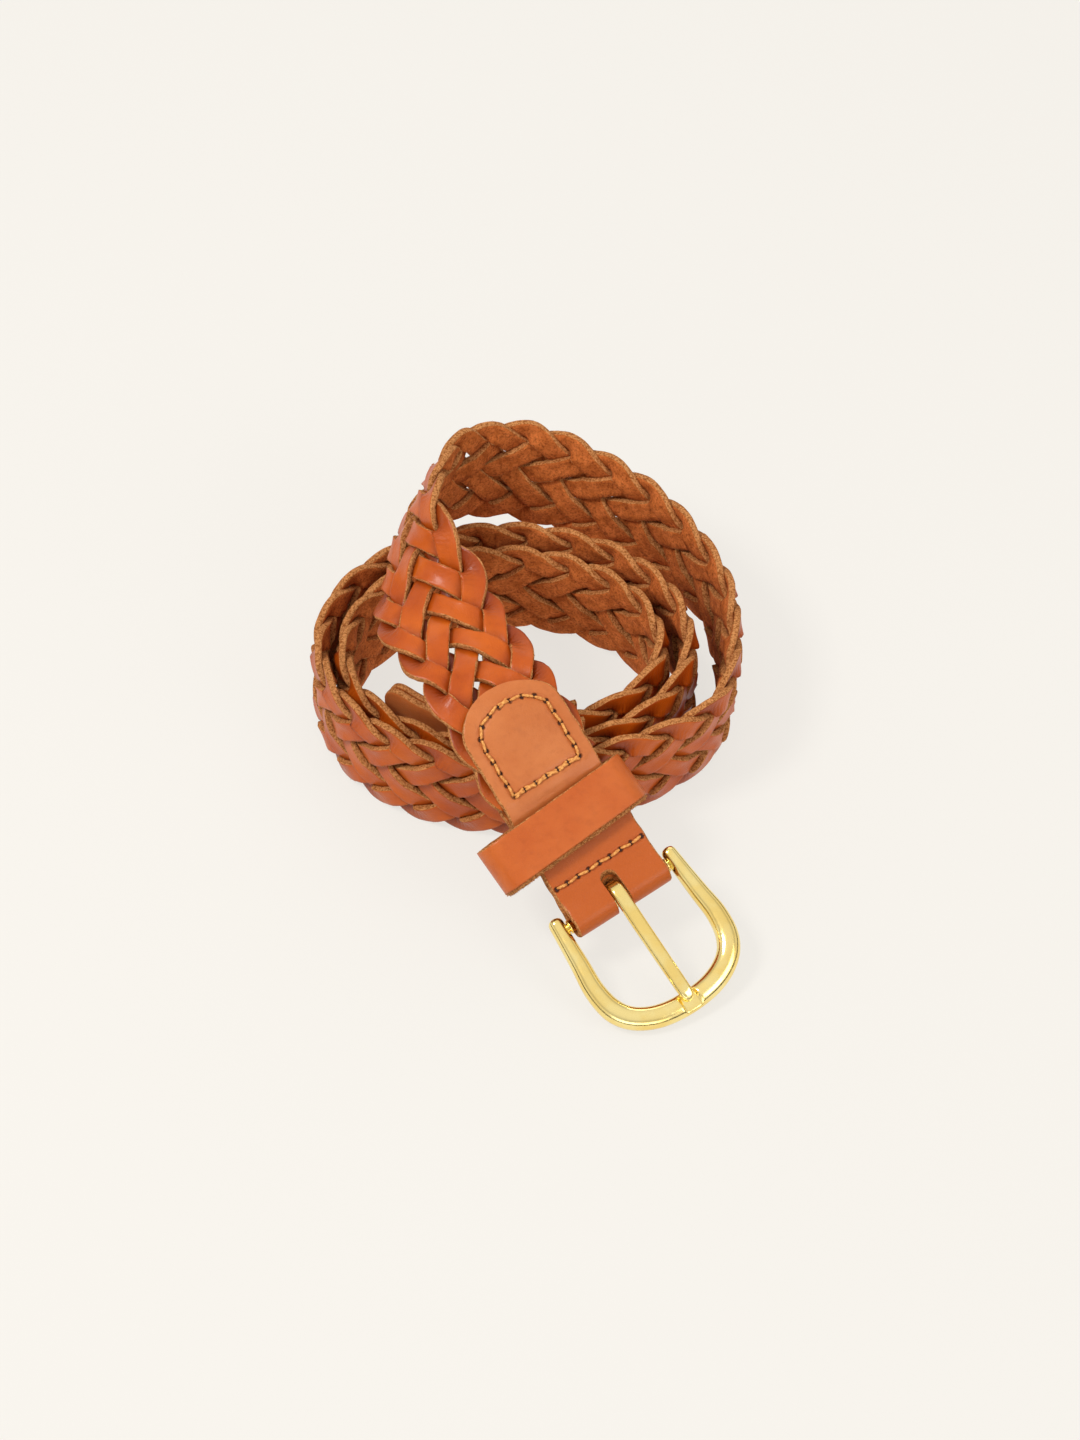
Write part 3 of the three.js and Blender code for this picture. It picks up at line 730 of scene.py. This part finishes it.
def ribbon(path, section, thick):
    """Rings for a leather strip: path rows are s, n, half width. Returns s, y and n arrays."""
    along = unit(np.gradient(path[:, :2], axis=0))
    a = np.array([c for c, _, _ in section])
    b = np.array([c for _, c, _ in section]) * (1 - 0.06 * np.abs(a) ** 6)
    s = path[:, :1] - along[:, 1:] * b * thick / 2
    n = path[:, 1:2] + along[:, :1] * b * thick / 2
    y = path[:, 2:] * a
    return s, y, n


def chape_seams(s, y):
    """The stitch count along the nearer of the chape's two seams, and the distance from it."""
    box_run, box_far = seam_value(s, y, BOX_SEAM)
    bar_run, bar_far = seam_value(s, y, BAR_SEAM_ROW)
    return np.where(box_far < bar_far, box_run, bar_run), np.minimum(box_far, bar_far)


def mark_seams(piece):
    """Stores the seams on the chape's outer faces, and how near each point is to the bar for the painted
    shade there, for its material.
    """
    points = np.array([vertex.co for vertex in piece.data.vertices])
    axes = np.array([ALONG[-1], ACROSS[-1], OUT[-1]])
    s, y, n = ((points - CENTRE[-1]) @ axes.T).T
    run, far = chape_seams(s + BAR_AT, y)
    outside = np.abs(n) > np.where(s < -OVER_BRAID, 0.0032, 0.0013)
    # Painted shade grows over the last part of the chape before the bar.
    painted_shade_near_bar = np.clip((s + OVER_BRAID) / 0.012, 0, 1)
    seam = np.stack([run, np.where(outside, far, 0.01), painted_shade_near_bar], -1)
    layer = piece.data.attributes.new("seam", "FLOAT_VECTOR", "POINT")
    layer.data.foreach_set("vector", seam.astype(np.float32).ravel())


def make_chape():
    section = sheet_section(49)
    path = chape_path()
    s, y, n = ribbon(path, section, LEATHER)
    level = np.array([b for _, b, _ in section])
    _, far = chape_seams(s, y)
    # The leather is drawn down a little along the seams and swells between them.
    outward = np.where(n > 0, 1, -1) * (level > 0)
    over_braid = s < BAR_AT - OVER_BRAID
    n = n - outward * 0.00025 * np.exp(-((far / 0.0013) ** 2)) * over_braid
    inside = over_braid & (np.abs(y) < SEAM_HALF)
    n = n + outward * 0.00025 * inside * np.clip(1 - (y / SEAM_HALF) ** 2, 0, 1)
    wander = np.stack([smooth_noise(len(path), 3, 0.00008) for _ in range(2)], 1)
    edge = np.array([abs(a) > 0.96 for a, _, _ in section])
    sign = np.array([0 if a > 0 else 1 for a, _, _ in section])
    y = y + np.where(edge, np.where(sign == 0, 1, -1) * wander[:, sign], 0)
    piece = add_band(
        "chape_leather", place(s, y, n), [CHAPE_GRAIN, CUT, SUEDE], [kind for _, _, kind in section],
    )
    cut_slot(piece)
    mark_seams(piece)
    stand_for(piece, "strap", "chape_leather", "buckle_chape")


def cut_slot(piece):
    """The round-ended slot that lets the prong through the fold, longer in its upper layer."""
    rings = []
    for z in (SLOT_REACH, -SLOT_REACH):
        centre = SLOT_HALF - SLOT_END - SLOT_SLOPE * z
        outline = []
        for degrees in range(-90, 91, 15):
            angle = math.radians(degrees)
            outline.append((centre - SLOT_HALF * math.cos(angle), SLOT_HALF * math.sin(angle), z))
        outline += [(SLOT_REACH, SLOT_HALF, z), (SLOT_REACH, -SLOT_HALF, z)]
        rings.append(at_bar(outline))
    tool = add_band("slot_tool", np.array(rings), [CUT])
    cut = piece.modifiers.new("slot", "BOOLEAN")
    cut.object = tool
    cut.operation = "DIFFERENCE"
    cut.solver = "EXACT"
    graph = bpy.context.evaluated_depsgraph_get()
    mesh = bpy.data.meshes.new_from_object(piece.evaluated_get(graph))
    piece.modifiers.clear()
    piece.data = mesh
    bpy.data.objects.remove(tool)


def make_tip_layer(name, side):
    """side is 1 for the outer layer, whose grain faces out, and -1 for the inner one."""
    section = sheet_section(33)
    s = np.concatenate([TIP_CORNER * (1 - np.cos(np.linspace(0.2, 1.57, 8))),
                        np.arange(TIP_CORNER + 0.001, TIP_LENGTH, 0.001)])
    corner = np.clip(1 - s / TIP_CORNER, 0, 1)
    half = EDGE - TIP_CORNER * (1 - np.sqrt(1 - corner**2))
    face = np.interp(s, (0.028, BRAID_START), (CLOSED_FACE, BRAID_FACE))
    path = np.stack([s, side * (face + LEATHER / 2), half], 1)
    s, y, n = ribbon(path, section, LEATHER * side)
    y = y * side
    run, apart = seam_value(s, y, TIP_SEAM_ROW)
    seam = np.stack([run, np.where(np.array([b for _, b, _ in section]) > 0, apart, 0.01), 0 * s], -1)
    piece = add_band(
        name + "_leather", place(s, y, n), [CHAPE_GRAIN, CUT, SUEDE],
        [kind for _, _, kind in section], {"seam": seam},
    )
    stand_for(piece, "strap", "chape_leather", name)


# ------------------------------------------------------------------ threads

def stitch_rings(start, end, face, side):
    """One stitch: a two-ply thread that rises from one hole, lies on the leather and dips again."""
    steps = 13
    t = np.linspace(0, 1, steps)
    flat = start + (end - start) * t[:, None]
    rise = np.clip(np.sin(math.pi * t) * 2.2, 0, 1)
    n = side * (face - 0.0007 + rise * (0.0007 + THREAD * 0.75))
    middle = place(flat[:, 0], flat[:, 1], n)
    along = unit(np.gradient(middle, axis=0))
    up = at(OUT, flat[:, 0])
    across = unit(np.cross(up, along))
    over = np.cross(along, across)
    angle = np.linspace(0, 2 * math.pi, 13)[:-1]
    twist = 2 * math.pi * t[:, None] * 1.6
    radius = THREAD * (0.88 + 0.2 * np.abs(np.cos(angle[None, :] - twist)))
    radius = radius * (0.72 + 0.28 * np.sin(math.pi * t)[:, None])
    return (
        middle[:, None, :] + (radius * np.cos(angle))[..., None] * across[:, None, :]
        + (radius * np.sin(angle))[..., None] * over[:, None, :]
    )


def make_seam(node, corners, face, side, double_row=False):
    holes, _ = even_points(corners, STITCH)
    points, faces = [], []
    count = 0
    pairs = list(zip(holes[:-1], holes[1:]))
    # The straight row of a double seam is sewn twice, the second time a little to one side.
    if double_row:
        pairs += [(a, b) for a, b in pairs if abs(a[0] - b[0]) < 1e-4]
    for k, (a, b) in enumerate(pairs):
        d = (b - a) / np.linalg.norm(b - a)
        aside = np.array((-d[1], d[0])) * (0.00022 if k % 2 else -0.00022)
        if k >= len(holes) - 1:
            aside = aside * 3
        rings = stitch_rings(a + d * 0.0002 - aside, b - d * 0.0002 + aside, face, side)
        quads, _ = band_faces(len(rings), rings.shape[1], False)
        points.append(rings.reshape(-1, 3))
        faces += (quads + count).tolist()
        ring = rings.shape[1]
        faces.append([count + j for j in range(ring)][::-1])
        faces.append([count + len(rings) * ring - ring + j for j in range(ring)])
        count += len(rings) * ring
    piece = add_piece(node + "_thread", np.concatenate(points), faces, [WAXED])
    stand_for(piece, "strap", "thread", node)


# ------------------------------------------------------------------ keeper

def keeper_place(points):
    """Points given along, across and up from the loop's middle, set on the chape."""
    x, y, z = np.moveaxis(np.asarray(points), -1, 0)
    c, s = math.cos(KEEPER_TILT), math.sin(KEEPER_TILT)
    turned = np.stack([
        c * x - s * y - KEEPER_AT,
        s * x + c * y + KEEPER_SIDE,
        z + KEEPER_REST - KEEPER_SPACE / 2,
    ], -1)
    return at_bar(turned)


def make_keeper():
    section = sheet_section(25)
    radius = KEEPER_SPACE / 2 + LEATHER / 2
    straight = KEEPER_HALF - LEATHER / 2 - radius
    bend = np.radians(np.linspace(90, -90, 25))
    right = np.stack([straight + radius * np.cos(bend), radius * np.sin(bend)], 1)
    flat = np.linspace(straight, -straight, 50)[1:-1]
    path = np.vstack([
        right,
        np.stack([flat, 0 * flat - radius], 1),
        right[::-1] * (-1, 1),
        np.stack([flat[::-1], 0 * flat + radius], 1),
    ])
    steps = np.roll(path, -1, 0) - np.roll(path, 1, 0)
    along = unit(steps)
    outward = np.stack([-along[:, 1], along[:, 0]], 1)
    a = np.array([c for c, _, _ in section])
    b = np.array([c for _, c, _ in section]) * (1 - 0.06 * np.abs(a) ** 6)
    # Its front edge is worn to a slope, where the raw leather shows.
    edge = np.abs(a) > 0.96
    a = np.where((a > 0.96) & (b > 0.5), a - KEEPER_WORN * (b - 0.5), a)
    b = np.where((a > 0.9) & (b > 0.6), b + 0.04, b)
    count = len(path)
    rough = np.stack([smooth_noise(count, 2, 0.00007) for _ in section], 1) * edge
    x = a[None, :] * KEEPER_BAND / 2 + rough
    lift = b * LEATHER / 2
    y = path[:, :1] + outward[:, :1] * lift
    z = path[:, 1:] + outward[:, 1:] * lift
    # The front of the loop bows up a little in its middle.
    bow = 0.0003 * np.cos(math.pi * np.clip(path[:, 0] / straight, -1, 1) / 2) * (path[:, 1] > 0)
    points = keeper_place(np.stack([x, y, z + bow[:, None]], -1))
    piece = add_band(
        "keeper_leather", points, [KEEPER_GRAIN, CUT, SUEDE],
        [kind for _, _, kind in section], closed=True,
    )
    row = random.integers(0, count, KEEPER_FUZZ)
    corner = random.choice(np.flatnonzero((a > 0.85) & edge), KEEPER_FUZZ)
    following = points[(row + 1) % count, corner]
    part = random.uniform(0, 1, (KEEPER_FUZZ, 1))
    places = points[row, corner] * (1 - part) + following * part
    spikes, faces = fuzz(places, ALONG[-1] + 0 * places, FIBRE)
    add_to(piece, spikes, faces, 1)
    stand_for(piece, "keeper", "chape_leather", "keeper_loop")


def make_staple():
    """A flat wire staple whose legs bend up into the loop's underside."""
    under = -KEEPER_SPACE / 2 - LEATHER - 0.0005
    half = 0.0038
    path = np.array([(-half, under + 0.001), (-half, under), (half, under), (half, under + 0.001)])
    path = through(path, 8)
    along = unit(np.gradient(path, axis=0))
    up = np.stack([-along[:, 1], along[:, 0]], 1)
    angle = np.linspace(0, 2 * math.pi, 13)[:-1]
    wide = 0.0006 * np.sign(np.cos(angle)) * np.abs(np.cos(angle)) ** 0.6
    tall = 0.0003 * np.sign(np.sin(angle)) * np.abs(np.sin(angle)) ** 0.6
    y = path[:, :1] + up[:, :1] * tall
    z = path[:, 1:] + up[:, 1:] * tall
    rings = keeper_place(np.stack([wide + 0 * y, y, z], -1))
    piece = add_band("keeper_staple_wire", rings, [STEEL])
    stand_for(piece, "keeper", "steel", "keeper_staple")


# ------------------------------------------------------------------ buckle

def make_frame():
    line = FRAME_HALF_LINE + [(FRAME_FRONT, 0)] + [(x, -y) for x, y in FRAME_HALF_LINE[::-1]]
    middle = through(line, 22)
    along = unit(np.gradient(middle, axis=0))
    outward = np.stack([-along[:, 1], along[:, 0]], 1)
    share = np.clip((middle[:, :1] + ARM_BACK) / 0.03, 0, 1)
    width = ARM_SECTION[0] + share * (FRAME_SECTION[0] - ARM_SECTION[0])
    height = ARM_SECTION[1] + share * (FRAME_SECTION[1] - ARM_SECTION[1])
    # The arms' tips are rounded off.
    run = np.concatenate([[0], np.cumsum(np.linalg.norm(np.diff(middle, axis=0), axis=1))])
    end = np.clip(np.minimum(run, run[-1] - run) / 0.0018, 0, 1)[:, None]
    round_off = np.sqrt(1 - (1 - end) ** 2) * 0.75 + 0.25
    angle = np.linspace(0, 2 * math.pi, 33)[:-1]
    cos, sin = np.cos(angle), np.sin(angle)
    p = cos / 2
    q = np.where(sin > 0, sin, -np.abs(sin) ** 0.6) / 2
    x = middle[:, :1] + outward[:, :1] * p * width * round_off
    y = middle[:, 1:] + outward[:, 1:] * p * width * round_off
    z = q * height * round_off
    # The seat for the prong is a shallow dip across the frame's front.
    dip = np.clip((0.0030 - np.abs(y)) / 0.0007, 0, 1) * (x > 0.03)
    dip = dip * dip * (3 - 2 * dip)
    z = np.where(z > SEAT_FLOOR, z + dip * (SEAT_FLOOR - z), z)
    piece = add_band("frame_casting", at_bar(np.stack([x, y, z], -1), BUCKLE_LIFT), [GOLD])
    stand_for(piece, "buckle", "gold", "buckle_frame")


def make_bar():
    """A turned pin with thinner ends that sit in the arms."""
    # Distance from the middle, and radius.
    half = [
        (0.0001, 0.0020), (0.0025, 0.0020), (0.0027, 0.00185), (0.012, 0.0018),
        (0.0157, 0.0018), (0.0159, 0.0020), (0.0162, 0.0020), (0.0163, 0.0013), (0.0186, 0.0013),
        (0.0188, 0.0011),
    ]
    profile = np.array([(-y, r) for y, r in half[::-1]] + half)
    angle = np.linspace(0, 2 * math.pi, 29)[:-1]
    y = profile[:, :1] + 0 * angle
    rings = np.stack([profile[:, 1:] * np.sin(angle), y, profile[:, 1:] * np.cos(angle)], -1)
    piece = add_band("bar_pin", at_bar(rings, BUCKLE_LIFT), [GOLD])
    stand_for(piece, "buckle", "gold", "buckle_bar")


def make_prong():
    """A flat wire curled round the bar, with bevelled top edges and a tip that dips to its seat."""
    # Path rows: forward, up, thickness, and share of the full width.
    curl = np.radians(np.linspace(300, 96, 26))
    ring = np.stack([PRONG_RING * np.cos(curl), PRONG_RING * np.sin(curl), 0 * curl + 0.0021,
                     0 * curl + 1.0], 1)
    shank = through([
        (0.0012, 0.0034, 0.0021, 1.0),
        (0.005, 0.00318, 0.0021, 1.0),
        (0.0095, 0.0029, 0.0022, 1.0),
        (0.018, 0.0028, 0.0022, 0.99),
        (PRONG_LENGTH - 0.007, 0.00272, 0.0022, 0.97),
        (PRONG_LENGTH - 0.0035, 0.00264, 0.0021, 0.95),
        (PRONG_LENGTH - 0.0016, 0.00242, 0.0018, 0.86),
        (PRONG_LENGTH - 0.0005, 0.0022, 0.0013, 0.62),
        (PRONG_LENGTH, 0.00205, 0.0008, 0.35),
    ], 7)
    path = np.vstack([ring, shank])
    along = unit(np.gradient(path[:, :2], axis=0))
    up = np.stack([-along[:, 1], along[:, 0]], 1)
    section = np.array([
        (-0.5, -0.3), (-0.46, -0.46), (-0.25, -0.5), (0, -0.5), (0.25, -0.5), (0.46, -0.46),
        (0.5, -0.3), (0.5, 0.1), (0.47, 0.25), (0.36, 0.46), (0.3, 0.5), (0.1, 0.5), (-0.1, 0.5),
        (-0.3, 0.5), (-0.36, 0.46), (-0.47, 0.25), (-0.5, 0.1),
    ])
    lift = section[:, 1] * path[:, 2:3]
    x = path[:, :1] + up[:, :1] * lift
    z = path[:, 1:2] + up[:, 1:] * lift
    y = section[:, 0] * PRONG_WIDTH * path[:, 3:4]
    piece = add_band("prong_wire", at_bar(np.stack([x, -y, z], -1), BUCKLE_LIFT), [GOLD])
    stand_for(piece, "tongue", "gold", "prong")


# ------------------------------------------------------------------ floor, light and camera

def make_floor():
    """White paper. Its edge is out of sight from 15 degrees up, but shows from 10."""
    n = 24
    line = np.linspace(-FLOOR_HALF, FLOOR_HALF, n)
    x, y = np.meshgrid(line, line, indexing="ij")
    points = np.stack([x, y, 0 * x], -1)
    i, j = np.meshgrid(np.arange(n - 1), np.arange(n - 1), indexing="ij")
    a = (i * n + j).ravel()
    faces = np.stack([a, a + n, a + n + 1, a + 1], -1)
    add_piece("floor", points, faces.tolist(), [paper_floor()])


def add_light(name, position, aim, size, power, colour=(1, 1, 1)):
    data = bpy.data.lights.new(name, "AREA")
    data.shape = "RECTANGLE"
    data.size, data.size_y = size
    data.energy = power
    data.color = colour
    light = bpy.data.objects.new(name, data)
    light.location = position
    direction = Vector([a - p for a, p in zip(aim, position)])
    light.rotation_mode = "QUATERNION"
    light.rotation_quaternion = direction.to_track_quat("-Z", "Y")
    bpy.context.scene.collection.objects.link(light)


def studio_world():
    """A white room with a dark foot and a dimmer band where walls and ceiling meet."""
    world = bpy.data.worlds.new("studio")
    world.use_nodes = True
    tree = world.node_tree
    where = tree.nodes.new("ShaderNodeTexCoord")
    height = tree.nodes.new("ShaderNodeSeparateXYZ")
    ramp = tree.nodes.new("ShaderNodeValToRGB")
    bands = ((0.02, 38), (0.15, 60), (0.23, 236), (0.45, 255), (0.6, 196), (0.8, 246), (1.0, 255))
    for position, grey in bands[1:-1]:
        ramp.color_ramp.elements.new(position)
    for element, (position, grey) in zip(ramp.color_ramp.elements, bands):
        element.position = position
        element.color = srgb(grey, 0.985 * grey, 0.96 * grey)
    tree.links.new(where.outputs["Generated"], height.inputs[0])
    tree.links.new(height.outputs["Z"], ramp.inputs[0])
    tree.links.new(ramp.outputs[0], tree.nodes["Background"].inputs["Color"])
    tree.nodes["Background"].inputs["Strength"].default_value = 0.92
    return world


def make_lights():
    middle = (0, 0, 0.02)
    add_light("key", (-0.5, -0.15, 0.85), middle, (0.25, 0.25), 5.4, (1, 0.98, 0.95))
    add_light("fill", (0.75, -0.45, 0.6), middle, (0.5, 0.5), 2.4, (1, 0.99, 0.97))
    add_light("back", (0.1, 0.8, 0.6), middle, (0.7, 0.3), 0.8)
    add_light("front", (0.1, -0.95, 0.3), middle, (0.9, 0.3), 1.2)
    bpy.context.scene.world = studio_world()
    bpy.context.scene.view_settings.view_transform = "Standard"


def make_camera():
    """A long lens, 52 degrees above the ground, looking along +Y."""
    elevation = math.radians(52)
    distance = 1.197
    target = (0.0036, 0.00995, 0.0119)
    data = bpy.data.cameras.new("camera")
    data.sensor_width = 36
    data.lens = 106.2
    camera = bpy.data.objects.new("camera", data)
    camera.location = (
        target[0], target[1] - distance * math.cos(elevation), target[2] + distance * math.sin(elevation),
    )
    camera.rotation_euler = (math.pi / 2 - elevation, 0, 0)
    bpy.context.scene.collection.objects.link(camera)
    bpy.context.scene.camera = camera


# ------------------------------------------------------------------ the whole belt

for strand in range(STRANDS):
    make_strand(strand)
make_chape()
make_tip_layer("tip_front", 1)
make_tip_layer("tip_back", -1)
sewn_face = BRAID_FACE + LEATHER
closed_face = CLOSED_FACE + LEATHER
make_seam("box_stitch_top", BOX_SEAM, sewn_face, 1, double_row=True)
make_seam("box_stitch_under", BOX_SEAM, sewn_face, -1)
make_seam("bar_stitch_top", BAR_SEAM_ROW, closed_face, 1)
make_seam("bar_stitch_under", BAR_SEAM_ROW, closed_face, -1)
make_seam("tip_stitch_top", TIP_SEAM_ROW, sewn_face, 1)
make_seam("tip_stitch_under", TIP_SEAM_ROW, sewn_face, -1)
make_keeper()
make_staple()
make_frame()
make_bar()
make_prong()
make_floor()
make_lights()
make_camera()
